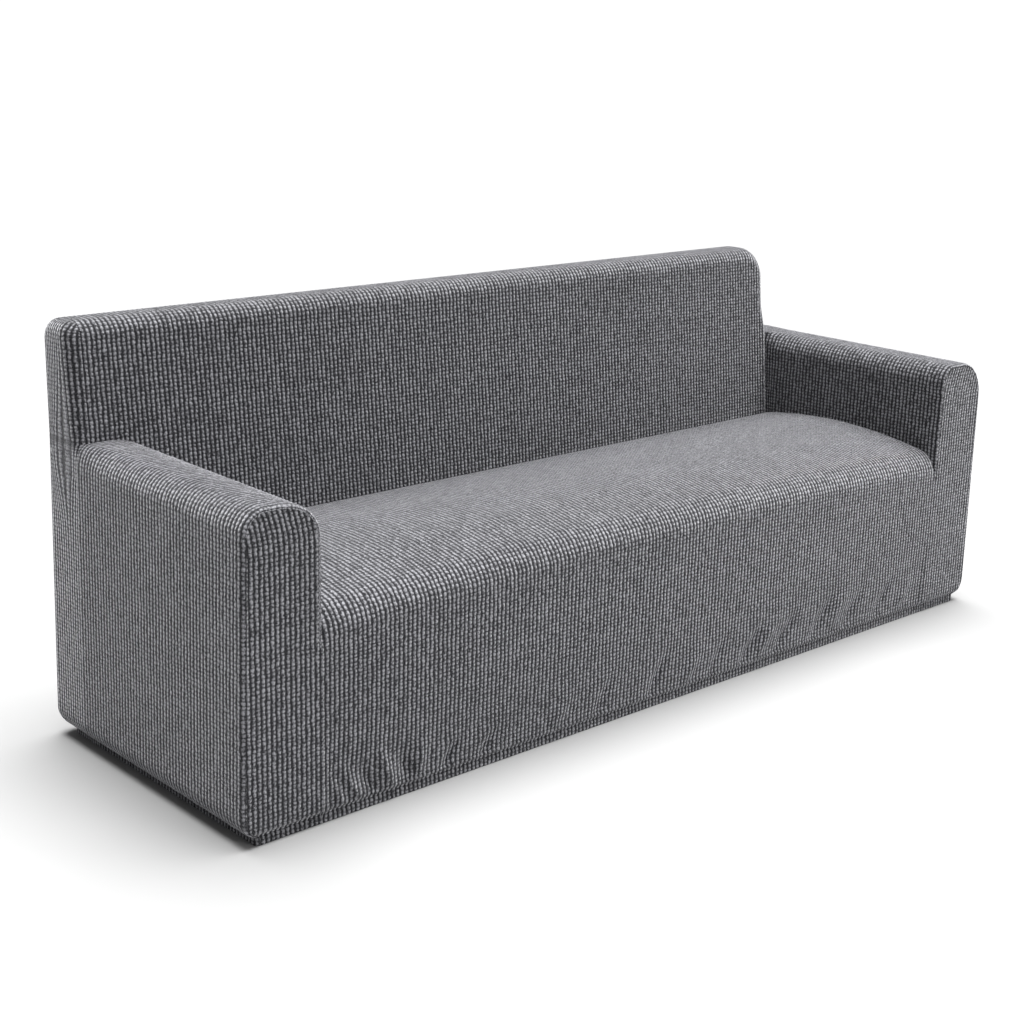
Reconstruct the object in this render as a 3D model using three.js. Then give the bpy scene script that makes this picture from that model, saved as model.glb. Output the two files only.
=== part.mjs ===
// Stretch slipcover for a three-seat sofa, as it sits when pulled over the sofa. Millimetres, +Z up.
// The cover alone is built: seven cut panels of one waffle-knit cloth, hollow and open at the hem.
// X runs along the sofa, the front faces -Y, and the hem stands on Z = 0 with the origin at its middle.
import * as THREE from 'three';
import { mergeVertices } from 'three/addons/utils/BufferGeometryUtils.js';

// ---- driving sizes -------------------------------------------------------------------------
const LENGTH = 2200;          // across the arms, at arm height
const DEPTH = 690;            // front of the arms to the rear face
const HEIGHT = 860;           // floor to the top of the back
const ARM_HEIGHT = 628;
const ARM_WIDTH = 162;
const BACK_TOP_DEPTH = 102;   // thickness of the back at its top
const BACK_RAKE = 0.1;        // the back's front face leans this much for each mm of height
const SEAT_REAR = 423;        // seat height at the crease with the back
const SEAT_EDGE = 420;        // seat height at its front edge, beside the arms
const CLOTH = 2.5;            // cloth thickness, waffle relief included
const SEAM_GAP = 0.3;         // clearance between sewn panels

const FLARE = 14;             // each outer wall stands this much further out near the floor
const HEM_HEIGHT = 20;        // hem band
const TURN_TOP = 62;          // height at which the outer walls start to turn in to the hem
const SIDE_TURN = 33;         // how far the hem lies inside the outer side walls
const FRONT_TURN = 7;         // and inside the front
const REAR_TURN = 16;         // and inside the rear
const FRONT_TURN_TOP = 34;

const ARM_OUTER_ROUND = 46;   // rounding of the left arm's outer edge, and of the right one's at the rear
const RIGHT_OUTER_WIDTH = 82; // the right arm's outer edge falls away more slowly, over this width
const RIGHT_OUTER_DROP = 90;  // and this height
const RIGHT_CROWN = 6;        // and its top stands this much above ARM_HEIGHT
const FRONT_EDGE = 6;         // turn of the arm sleeves onto the front panels
const FRONT_LAND = 1;         // flat strip between that turn and its seam
const REAR_EDGE = 24;         // turn of the walls onto the rear panel
const END_EDGE = 24;          // turn of the left end panel onto the back
const LAND = 4;               // flat strip between the other turns and their seams
const BACK_FRONT_ROUND = 32;  // turn of the back's front face onto its top and right end
const BACK_FOLD = 8;          // which is a tighter fold beside the arm
const FOLD_RISE = 92;         // and opens over this height above the arm
const BACK_REAR_ROUND = 40;   // turn of the rear face onto the back's top
const BACK_CORNER = 76;       // top right corner of the back, seen from the front
const TOP_SEAM = 55;          // lengthwise seam on the back's top, from the rear face
const SEAT_ROUND = 46;        // front edge of the seat
const SEAT_CROWN_DEPTH = 26;  // crown of the seat from front to rear
const SEAT_CROWN_WIDTH = 22;  // crown of the seat from arm to arm
const SEAT_CROWN_FADE = 1.6;  // which fades towards the back, in half seat depths
const SEAT_SIDE_DROP = 12;    // the seat rolls down this much beside the arms
const SEAT_SIDE_ROLL = 30;
const INNER_FOOT = 348;       // lower edge of the arms' inner walls, below the seat crease
const BACK_FOOT = 390;        // lower edge of the back's front face, behind the seat

const PULL_DRAW = 4.2;        // the elastic draws the skirt in this far above its hem
const PULL_DRAW_TOP = 230;    // and up to this height
const PULL_FADE = 14;         // the pulls start this far above the hem band
const PULL_SIDE = 25;         // and this far from the side seams

const MERGE = 1e-3;           // points closer than this are one point

const HALF = LENGTH / 2;
const INNER = HALF - ARM_WIDTH;                     // inner face of each arm
const BACK_END = INNER - SEAM_GAP;                  // right end of the back, against the arm
const LEFT_SEAM = HALF - END_EDGE - LAND;           // seam of the back with its left end panel
const OUTER_TOP = ARM_HEIGHT - ARM_OUTER_ROUND;     // where the outer wall starts to round over
const BACK_JOIN = ARM_HEIGHT + SEAM_GAP;            // the back's panels start here above the arms

// Inner edges of the arms' tops: how far each reaches over and down, and how full it is, where 2 is a
// plain ellipse.
const LEFT_INNER = { width: 100, drop: 80, full: 2.35 };
const RIGHT_INNER = { width: 40, drop: 40, full: 2 };
const innerTop = (edge) => ARM_HEIGHT - edge.drop;  // where an inner wall starts to round over
const NOTCH_FOOT = innerTop(LEFT_INNER);

// Soft pulls of the cloth above the front hem, where its elastic gathers it.
const PULLS = [
  { x: -905, z: 52, lean: -24, length: 78, width: 9, rise: 3.2 },
  { x: -872, z: 60, lean: -22, length: 84, width: 10, rise: 3.6 },
  { x: -832, z: 56, lean: -26, length: 70, width: 12, rise: -4.0 },
  { x: -790, z: 66, lean: -16, length: 88, width: 13, rise: 4.2 },
  { x: -745, z: 62, lean: -10, length: 60, width: 14, rise: -5.0 },
  { x: -704, z: 66, lean: 8, length: 66, width: 13, rise: 3.6 },
  { x: -632, z: 50, lean: 34, length: 50, width: 13, rise: -4.4 },
  { x: -534, z: 48, lean: 40, length: 56, width: 13, rise: -3.0 },
  { x: -335, z: 60, lean: 30, length: 70, width: 16, rise: 2.4 },
  { x: -210, z: 66, lean: 26, length: 80, width: 16, rise: -2.6 },
  { x: -45, z: 72, lean: 24, length: 90, width: 15, rise: -4.0 },
  { x: 60, z: 58, lean: 32, length: 70, width: 15, rise: 3.4 },
  { x: 150, z: 66, lean: 30, length: 76, width: 15, rise: -2.8 },
  { x: 267, z: 68, lean: 36, length: 92, width: 15, rise: -4.6 },
  { x: 325, z: 76, lean: 36, length: 96, width: 16, rise: 3.8 },
  { x: 390, z: 72, lean: 38, length: 96, width: 15, rise: -4.4 },
  { x: 523, z: 80, lean: 34, length: 100, width: 17, rise: -4.2 },
  { x: 585, z: 84, lean: 32, length: 92, width: 17, rise: 3.4 },
  { x: 641, z: 74, lean: 34, length: 84, width: 16, rise: -3.6 },
  { x: 765, z: 78, lean: 36, length: 84, width: 16, rise: -3.2 },
  { x: 850, z: 66, lean: 30, length: 60, width: 14, rise: 2.4 },
];

// ---- the cover's form ----------------------------------------------------------------------
const mix = (a, b, t) => a + (b - a) * t;
const clamp01 = (t) => Math.min(1, Math.max(0, t));
const smooth = (t) => clamp01(t) ** 2 * (3 - 2 * clamp01(t));
const steps = (a, b, count) => Array.from({ length: count + 1 }, (_, k) => mix(a, b, k / count));
const quarter = (count) => steps(0, Math.PI / 2, count);
const vec = (x, y, z) => new THREE.Vector3(x, y, z);

// How far a wall has turned in at height z, where the turn starts at `top` and ends at the hem band.
function turnIn(z, amount, top) {
  const t = clamp01((top - z) / (top - HEM_HEIGHT));
  return amount * (1 - Math.sqrt(1 - t * t));
}
const outerWall = (z) => HALF + FLARE * clamp01(1 - z / ARM_HEIGHT) - turnIn(z, SIDE_TURN, TURN_TOP);
const frontWall = (z) => turnIn(z, FRONT_TURN, FRONT_TURN_TOP);
const rearWall = (z) => DEPTH - turnIn(z, REAR_TURN, TURN_TOP);
const backFace = (z) => DEPTH - BACK_TOP_DEPTH - BACK_RAKE * (HEIGHT - z);
const BACK_AT_ARM = backFace(ARM_HEIGHT);

// An arm's inner edge, from the inner wall at angle 0 to the arm's top: how far from the inner face
// and how high above the top of the inner wall, for an edge of this width and drop.
const innerOver = (angle, width, full) => width * (1 - Math.cos(angle) ** (2 / full));
const innerUp = (angle, drop, full) => drop * Math.sin(angle) ** (2 / full);

// Turn of the back's right end, where it stands beside the arm and above it.
const endRound = (z) => mix(BACK_FOLD, BACK_FRONT_ROUND, smooth((z - BACK_JOIN) / FOLD_RISE));

// The upright seams get more room where they follow the walls in to the hem, on a slant.
const seamRoom = (z) => SEAM_GAP * (1 + Math.abs(outerWall(z + 2) - outerWall(z - 2)));

// Height of the seat, crowned both ways, where y is measured from the front.
function seatHeight(x, y) {
  const middle = (backFace(SEAT_REAR) + SEAT_ROUND) / 2;
  const reach = backFace(SEAT_REAR) - middle;
  const along = 1 - ((y - middle) / reach) ** 2;
  const across = 1 - (x / INNER) ** 2;
  const level = mix(SEAT_EDGE, SEAT_REAR, clamp01(y / backFace(SEAT_REAR)));
  const fading = clamp01(SEAT_CROWN_FADE - y / reach);
  return level + SEAT_CROWN_DEPTH * along + SEAT_CROWN_WIDTH * across * fading;
}

// Relief of the front skirt: its pulls, on cloth that the elastic draws in. There is none at the
// side seams or in the hem band.
function skirtRelief(x, z) {
  let relief = 0;
  for (const pull of PULLS) {
    const lean = THREE.MathUtils.degToRad(pull.lean);
    const dx = x - pull.x;
    const dz = z - pull.z;
    const acrossPull = dx * Math.cos(lean) - dz * Math.sin(lean);
    const alongPull = dx * Math.sin(lean) + dz * Math.cos(lean);
    const spread = (acrossPull / pull.width) ** 2 + (2 * alongPull / pull.length) ** 2;
    relief += pull.rise * Math.exp(-spread);
  }
  const drawnIn = PULL_DRAW * smooth((PULL_DRAW_TOP - z) / PULL_DRAW_TOP);
  const sides = smooth((INNER - Math.abs(x)) / PULL_SIDE);
  return (relief - drawnIn) * sides * smooth((z - HEM_HEIGHT) / PULL_FADE);
}

// ---- sheets --------------------------------------------------------------------------------
const grid = (rows, columns, at) => rows.map((row) => columns.map((column) => at(row, column)));

// A patch between four edges: bottom and top run along the rows, left and right up them.
function patch(bottom, top, left, right) {
  const [rows, columns] = [left.length - 1, bottom.length - 1];
  const at = (j, i) => {
    if (j === 0) return bottom[i];
    if (j === rows) return top[i];
    if (i === 0) return left[j];
    if (i === columns) return right[j];
    const [u, v] = [i / columns, j / rows];
    return vec(0, 0, 0)
      .addScaledVector(bottom[i], 1 - v).addScaledVector(top[i], v)
      .addScaledVector(left[j], 1 - u).addScaledVector(right[j], u)
      .addScaledVector(bottom[0], (u - 1) * (1 - v)).addScaledVector(bottom[columns], -u * (1 - v))
      .addScaledVector(top[0], (u - 1) * v).addScaledVector(top[columns], -u * v);
  };
  return left.map((_, j) => bottom.map((__, i) => at(j, i)));
}

// The triangles of a grid, all facing away from the point `inside`.
function facesOf(rows, inside) {
  const triangles = [];
  for (let j = 0; j + 1 < rows.length; j += 1) {
    for (let i = 0; i + 1 < rows[j].length; i += 1) {
      const [a, b, c, d] = [rows[j][i], rows[j][i + 1], rows[j + 1][i + 1], rows[j + 1][i]];
      const first = a.distanceTo(c) <= b.distanceTo(d);
      triangles.push(...(first ? [[a, b, c], [a, c, d]] : [[a, b, d], [b, c, d]]));
    }
  }
  let facing = 0;
  for (const [a, b, c] of triangles) {
    const normal = b.clone().sub(a).cross(c.clone().sub(a));
    facing += normal.dot(a.clone().sub(inside));
  }
  return facing > 0 ? triangles : triangles.map(([a, b, c]) => [a, c, b]);
}

// One sheet of cloth: grids that share edges, with the cloth's thickness added on the inner side.
function sheet(...parts) {
  const corners = parts.flat(2);
  const face = new THREE.BufferGeometry();
  const flat = corners.flatMap((p) => [p.x, p.y - DEPTH / 2, p.z]);
  face.setAttribute('position', new THREE.Float32BufferAttribute(flat, 3));
  const merged = mergeVertices(face, MERGE);
  const points = merged.getAttribute('position');
  const point = (k) => vec(0, 0, 0).fromBufferAttribute(points, k);
  const normals = Array.from({ length: points.count }, () => vec(0, 0, 0));
  const edges = new Map();
  const index = [];
  const inner = points.count;
  for (let k = 0; k < merged.index.count; k += 3) {
    const t = [0, 1, 2].map((corner) => merged.index.getX(k + corner));
    if (new Set(t).size < 3) continue;
    const p = t.map(point);
    const normal = p[1].clone().sub(p[0]).cross(p[2].clone().sub(p[0])).normalize();
    for (const corner of [0, 1, 2]) {
      const [next, last] = [(corner + 1) % 3, (corner + 2) % 3];
      const angle = p[next].clone().sub(p[corner]).angleTo(p[last].clone().sub(p[corner]));
      normals[t[corner]].addScaledVector(normal, angle);
      edges.set(`${t[corner]},${t[next]}`, [t[corner], t[next]]);
    }
    index.push(t[0], t[1], t[2], t[0] + inner, t[2] + inner, t[1] + inner);
  }
  for (const [a, b] of edges.values()) {
    if (!edges.has(`${b},${a}`)) index.push(b, a, a + inner, b, a + inner, b + inner);
  }
  const outerPoints = normals.map((_, k) => point(k));
  const innerPoints = normals.map((normal, k) => {
    const p = point(k).addScaledVector(normal.normalize(), -CLOTH);
    return p.setZ(Math.max(p.z, 0));
  });
  const positions = [...outerPoints, ...innerPoints].flatMap((p) => p.toArray());
  const solid = new THREE.BufferGeometry();
  solid.setAttribute('position', new THREE.Float32BufferAttribute(positions, 3));
  solid.setIndex(index);
  return solid;
}

// ---- arm sleeves -----------------------------------------------------------------------------
const HEM_ROWS = [0, HEM_HEIGHT, 24, 31, 44, TURN_TOP];
const WALL_ROWS = [...HEM_ROWS, 140, 250, 360, 470, OUTER_TOP];
const ROLL = quarter(5);
const EDGE_TURN = quarter(2);
const REAR_TURNS = quarter(3);
const innerRows = (edge) => [innerTop(edge), 490, 420, INNER_FOOT];

// A column of a sleeve runs up the outer wall and over the arm. It has its y at each height, how far
// the section is drawn in there, and the sizes of the arm's roundings.
const armColumn = (at, width) => ({
  y: () => at,
  innerY: () => at,
  drawn: 0,
  width,
  foot: OUTER_TOP,
  height: ARM_OUTER_ROUND,
  inner: LEFT_INNER,
  innerWidth: LEFT_INNER.width,
  besideBack: false,
});
// The right arm's section, from its plain one at the rear (0) to its full one at the front (1).
const rightForm = (share) => ({
  width: mix(ARM_OUTER_ROUND, RIGHT_OUTER_WIDTH, share),
  foot: ARM_HEIGHT + share * RIGHT_CROWN - mix(ARM_OUTER_ROUND, RIGHT_OUTER_DROP, share),
  height: mix(ARM_OUTER_ROUND, RIGHT_OUTER_DROP, share),
  inner: RIGHT_INNER,
  innerWidth: RIGHT_INNER.width,
});
const rightColumn = (at, share) => ({ ...armColumn(at, ARM_OUTER_ROUND), ...rightForm(share) });
const frontTurns = [
  { drawn: FRONT_EDGE + FRONT_LAND, depth: 0 },
  ...EDGE_TURN.map((angle) => (
    { drawn: FRONT_EDGE * (1 - Math.sin(angle)), depth: FRONT_EDGE * (1 - Math.cos(angle)) }
  )),
];
const rearTurns = [
  ...REAR_TURNS.map((angle) => (
    { drawn: REAR_EDGE * (1 - Math.cos(angle)), depth: REAR_EDGE * (1 - Math.sin(angle)) }
  )),
  { drawn: REAR_EDGE + LAND, depth: 0 },
];
const frontColumns = (column) => frontTurns.map(({ drawn, depth }) => {
  const y = (z) => frontWall(z) + depth;
  return { ...column, y, innerY: y, drawn, height: column.height - drawn };
});
const rearColumns = (plain, runsUp) => rearTurns.map(({ drawn, depth }) => {
  const y = (z) => rearWall(z) - depth;
  const column = { ...plain, y, innerY: y, drawn };
  if (runsUp) return { ...column, width: drawn };
  return { ...column, height: ARM_OUTER_ROUND - drawn, besideBack: true };
});
const ARM_STOPS = [110, 230, 350, 450];

function outerWallGrid(side, columns) {
  return grid(WALL_ROWS, columns, (row, c) => {
    const z = Math.min(row, c.foot);
    return vec(side * (outerWall(z) - c.drawn), c.y(z), z);
  });
}
function outerRollGrid(side, columns) {
  return grid(ROLL, columns, (angle, c) => {
    const z = c.foot + c.height * Math.sin(angle);
    const inset = c.drawn + (c.width - c.drawn) * (1 - Math.cos(angle));
    return vec(side * (outerWall(z) - inset), c.y(z), z);
  });
}

// Arm top, from the outer rounding to where the inner rounding starts, or to the back's right end.
function topGrid(side, columns) {
  return grid(steps(0, 1, 2), columns, (t, c) => {
    const z = c.foot + c.height;
    const inner = c.besideBack ? INNER : INNER + c.innerWidth;
    return vec(side * mix(outerWall(z) - c.width, inner, t), t > 0 ? c.innerY(z) : c.y(z), z);
  });
}

// Inner rounding and inner wall, which end at the back.
function innerRollGrid(side, columns) {
  return grid([...ROLL].reverse(), columns, (angle, c) => {
    const foot = innerTop(c.inner);
    const z = foot + innerUp(angle, c.foot + c.height - foot, c.inner.full);
    const inset = c.drawn + innerOver(angle, c.innerWidth - c.drawn, c.inner.full);
    return vec(side * (INNER + inset), c.innerY(z), z);
  });
}
function innerWallGrid(side, columns) {
  const rows = innerRows(columns[0].inner);
  return grid(rows, columns, (z, c) => vec(side * (INNER + c.drawn), c.innerY(z), z));
}

function sleeveFaces(side, columns, armColumns, innerColumns) {
  const inside = vec(side * (HALF - ARM_WIDTH / 2), DEPTH / 2, ARM_HEIGHT / 2);
  const grids = [outerWallGrid(side, columns), outerRollGrid(side, columns), topGrid(side, armColumns),
    innerRollGrid(side, innerColumns), innerWallGrid(side, innerColumns)];
  return grids.map((rows) => facesOf(rows, inside));
}

// ---- left side: arm sleeve and the end of the back in one piece --------------------------------
const FRONT_RISE = [ARM_HEIGHT, 690, 760, HEIGHT - BACK_FRONT_ROUND];
const REAR_FALL = [HEIGHT - BACK_REAR_ROUND, 760, 690, ARM_HEIGHT];
const ARC = quarter(4);
const HALF_ARC = ARC.length / 2 - 0.5;

// Profile of the back seen from its end, from the arm up the front, over the top and down the rear,
// drawn in by `drawn`, as [y, z].
function endProfile(drawn) {
  const front = FRONT_RISE.map((z) => [backFace(z) + drawn, z]);
  const frontArc = ARC.slice(1).map((angle) => {
    const radius = BACK_FRONT_ROUND - drawn;
    const face = backFace(HEIGHT - BACK_FRONT_ROUND * (1 - Math.sin(angle)));
    return [
      face + BACK_FRONT_ROUND - radius * Math.cos(angle),
      HEIGHT - BACK_FRONT_ROUND + radius * Math.sin(angle),
    ];
  });
  const rearArc = ARC.map((angle) => {
    const radius = BACK_REAR_ROUND - drawn;
    return [
      DEPTH - BACK_REAR_ROUND + radius * Math.sin(angle),
      HEIGHT - BACK_REAR_ROUND + radius * Math.cos(angle),
    ];
  });
  const rear = REAR_FALL.slice(1).map((z) => [DEPTH - drawn, z]);
  return [...front, ...frontArc, ...rearArc, ...rear];
}

function leftEndFaces(middleYs) {
  const turns = [...REAR_TURNS].reverse();
  const land = endProfile(0).map(([y, z]) => vec(-LEFT_SEAM, y, z));
  const turned = turns.map((angle) => endProfile(END_EDGE * (1 - Math.sin(angle))).map(([y, z]) => (
    vec(-(HALF - END_EDGE * (1 - Math.cos(angle))), y, z)
  )));
  const strip = [land, ...turned];
  const edge = strip.at(-1);
  const frontCorner = FRONT_RISE.length - 1 + HALF_ARC;
  const rearCorner = FRONT_RISE.length + ARC.length - 1 + HALF_ARC;
  const bottom = [edge[0], ...middleYs.map((y) => vec(-HALF, y, ARM_HEIGHT)), edge.at(-1)];
  const panel = patch(
    bottom,
    edge.slice(frontCorner, rearCorner + 1),
    edge.slice(0, frontCorner + 1),
    edge.slice(rearCorner).reverse(),
  );
  const inside = vec(-HALF + 4 * END_EDGE, (BACK_AT_ARM + DEPTH) / 2, (ARM_HEIGHT + HEIGHT) / 2);
  return [facesOf(strip, inside), facesOf(panel, inside)];
}

// The arm's outer rounding narrows to the end panel's edge over these shares of its last stretch.
const NARROWING = [0.4, 0.75];

function sideLeft() {
  const start = ARM_STOPS.at(-1);
  const narrowing = NARROWING.map((t) => (
    armColumn(mix(start, BACK_AT_ARM, t), mix(ARM_OUTER_ROUND, END_EDGE, smooth(t)))
  ));
  const atBack = { ...armColumn(BACK_AT_ARM, END_EDGE), innerY: (z) => backFace(z) - SEAM_GAP };
  const plain = ARM_STOPS.map((y) => armColumn(y, ARM_OUTER_ROUND));
  const front = frontColumns(armColumn(0, ARM_OUTER_ROUND));
  const sleeve = [...front, ...plain, ...narrowing, atBack];
  const turned = [...REAR_TURNS].reverse().slice(1).map((angle) => (
    armColumn(BACK_AT_ARM + END_EDGE * (1 - Math.sin(angle)), END_EDGE * (1 - Math.cos(angle)))
  ));
  const middleYs = steps(BACK_AT_ARM + END_EDGE, DEPTH - REAR_EDGE, 5).slice(1, -1);
  const middle = middleYs.map((y, k) => {
    const share = (k + 1) / (middleYs.length + 1);
    return { ...armColumn(y, 0), y: (z) => y - share * (DEPTH - rearWall(z)) };
  });
  const all = [...sleeve, ...turned, ...middle, ...rearColumns(armColumn(0, ARM_OUTER_ROUND), true)];
  return sheet(...sleeveFaces(-1, all, sleeve, sleeve), ...leftEndFaces(middleYs));
}

// ---- right side: arm sleeve beside the back ----------------------------------------------------
const CLOSING_START = BACK_AT_ARM - 40; // the arm's inner rounding closes up from here to the back
const CLOSING_WIDTH = RIGHT_INNER.width / 2;
const CLOSED_WIDTH = 4;

function sideRight() {
  const plain = [...ARM_STOPS, CLOSING_START].map((y) => rightColumn(y, 1));
  const closing = {
    ...rightColumn(BACK_AT_ARM, 1),
    innerWidth: CLOSING_WIDTH,
    innerY: backFace,
  };
  const atBack = {
    ...rightColumn(BACK_AT_ARM + BACK_FOLD, 1),
    innerWidth: CLOSED_WIDTH,
    innerY: (z) => backFace(z) + BACK_FOLD,
  };
  const midway = mix(BACK_AT_ARM + BACK_FOLD, DEPTH - REAR_EDGE, 0.5);
  const beside = [
    { ...rightColumn(midway, 0.5), besideBack: true },
    ...rearColumns(rightColumn(0, 0), false),
  ];
  const sleeve = [...frontColumns(rightColumn(0, 1)), ...plain, closing, atBack];
  const all = [...sleeve, ...beside];
  return sheet(...sleeveFaces(1, all, all, sleeve));
}

// ---- front panel of an arm, set inside the sleeve's turned edge --------------------------------
function armFront(side) {
  const inset = FRONT_EDGE + FRONT_LAND + SEAM_GAP;
  const outerEdge = (z) => outerWall(z) - FRONT_EDGE - FRONT_LAND - seamRoom(z);
  const column = side < 0 ? armColumn(0, ARM_OUTER_ROUND) : rightColumn(0, 1);
  const { inner } = column;
  const below = WALL_ROWS.filter((z) => z < INNER_FOOT);
  const above = WALL_ROWS.filter((z) => z > INNER_FOOT && z < column.foot);
  const notch = [INNER_FOOT - 2 * SEAM_GAP, INNER_FOOT - SEAM_GAP];
  const edges = [
    ...[...below, notch[0]].map((z) => ({ outer: [outerEdge(z), z], inner: [INNER, z] })),
    ...[notch[1], ...above].map((z) => (
      { outer: [outerEdge(z), z], inner: [INNER + inset, z] }
    )),
    ...ROLL.map((angle) => {
      const top = column.foot + column.height - inset;
      const z = mix(column.foot, top, Math.sin(angle));
      const drawn = inset + (column.width - inset) * (1 - Math.cos(angle));
      const over = inset + innerOver(angle, inner.width - inset, inner.full);
      const up = innerUp(angle, top - innerTop(inner), inner.full);
      return { outer: [outerWall(z) - drawn, z], inner: [INNER + over, innerTop(inner) + up] };
    }),
  ];
  const rows = grid(edges, steps(0, 1, 4), ({ outer, inner }, t) => {
    const z = mix(outer[1], inner[1], t);
    return vec(side * mix(outer[0], inner[0], t), frontWall(z), z);
  });
  return sheet(facesOf(rows, vec(side * INNER, DEPTH / 2, ARM_HEIGHT / 2)));
}

// ---- the back's front and rear panels ----------------------------------------------------------
// Outline of the back above the arms, seen from the front, from the arm up the right end, round the
// corner and along the top to the left: each entry gives [x, z] at a distance `drawn` inside it.
const BACK_XS = [700, 470, 235, 0, -235, -470, -700, -BACK_END];
const NOTCH_ARC = quarter(5);
const notchX = (angle) => -(BACK_END + innerOver(angle, LEFT_INNER.width + SEAM_GAP, LEFT_INNER.full));
const notchXs = NOTCH_ARC.map(notchX);
const LEFT_EDGE = -(LEFT_SEAM - SEAM_GAP);
const END_RISE = [BACK_JOIN, 658, 690, BACK_JOIN + FOLD_RISE, HEIGHT - BACK_CORNER];
const endPoint = (z) => (drawn) => [BACK_END - drawn, z];
const cornerPoint = (angle) => (drawn) => [
  BACK_END - BACK_CORNER + (BACK_CORNER - drawn) * Math.cos(angle),
  HEIGHT - BACK_CORNER + (BACK_CORNER - drawn) * Math.sin(angle),
];
const topPoint = (x) => (drawn) => [x, HEIGHT - drawn];
const OUTLINE = [
  ...END_RISE.map(endPoint),
  ...ARC.slice(1).map(cornerPoint),
  ...[...BACK_XS, ...notchXs.slice(1), LEFT_EDGE].map(topPoint),
];
// The outline's entries halfway round the corner and above the left arm's inner face.
const CORNER = END_RISE.length - 1 + HALF_ARC;
const AT_INNER_FACE = OUTLINE.length - 1 - NOTCH_ARC.length;
const SEAM_LINE = DEPTH - TOP_SEAM;
const BACK_TURNS = quarter(3);

function backFront() {
  const at = ([x, z]) => vec(x, backFace(z), z);
  const radius = (entry) => endRound(entry(0)[1]);
  const drawnIn = OUTLINE.map((entry) => at(entry(radius(entry))));
  const edge = BACK_END - BACK_FOLD;
  const cornerX = BACK_END - BACK_CORNER;
  const bottomXs = [edge, mix(edge, cornerX, 0.5), cornerX, ...BACK_XS];
  const lowRows = [BACK_FOOT, 440, 495, NOTCH_FOOT];
  const low = grid(lowRows, bottomXs, (z, x) => at([x, z]));
  const rise = [at([edge, NOTCH_FOOT]), ...drawnIn.slice(0, CORNER + 1)];
  const upright = (x, foot) => (
    steps(foot, HEIGHT - BACK_FRONT_ROUND, rise.length - 1).map((z) => at([x, z]))
  );
  const besideArm = upright(-BACK_END, NOTCH_FOOT);
  const main = patch(low.at(-1), drawnIn.slice(CORNER, AT_INNER_FACE + 1), rise, besideArm);
  const notch = NOTCH_ARC.map((angle, k) => (
    at([notchXs[k], NOTCH_FOOT + innerUp(angle, LEFT_INNER.drop + SEAM_GAP, LEFT_INNER.full)])
  ));
  const aboveArm = patch(
    [...notch, at([LEFT_EDGE, BACK_JOIN])],
    drawnIn.slice(AT_INNER_FACE),
    besideArm,
    upright(LEFT_EDGE, BACK_JOIN),
  );
  const turned = (angle) => (entry) => {
    const [x, z] = entry(radius(entry) * (1 - Math.sin(angle)));
    return vec(x, backFace(z) + radius(entry) * (1 - Math.cos(angle)), z);
  };
  const lowEnd = [...lowRows, BACK_JOIN].map(endPoint);
  const rim = OUTLINE.map((entry) => vec(entry(0)[0], SEAM_LINE - SEAM_GAP, entry(0)[1]));
  const grids = [
    low,
    main,
    aboveArm,
    BACK_TURNS.map((angle) => lowEnd.map(turned(angle))),
    [...BACK_TURNS.map((angle) => OUTLINE.map(turned(angle))), rim],
  ];
  const inside = vec(0, DEPTH - BACK_REAR_ROUND, HEIGHT / 2);
  return sheet(...grids.map((rows) => facesOf(rows, inside)));
}

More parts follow.
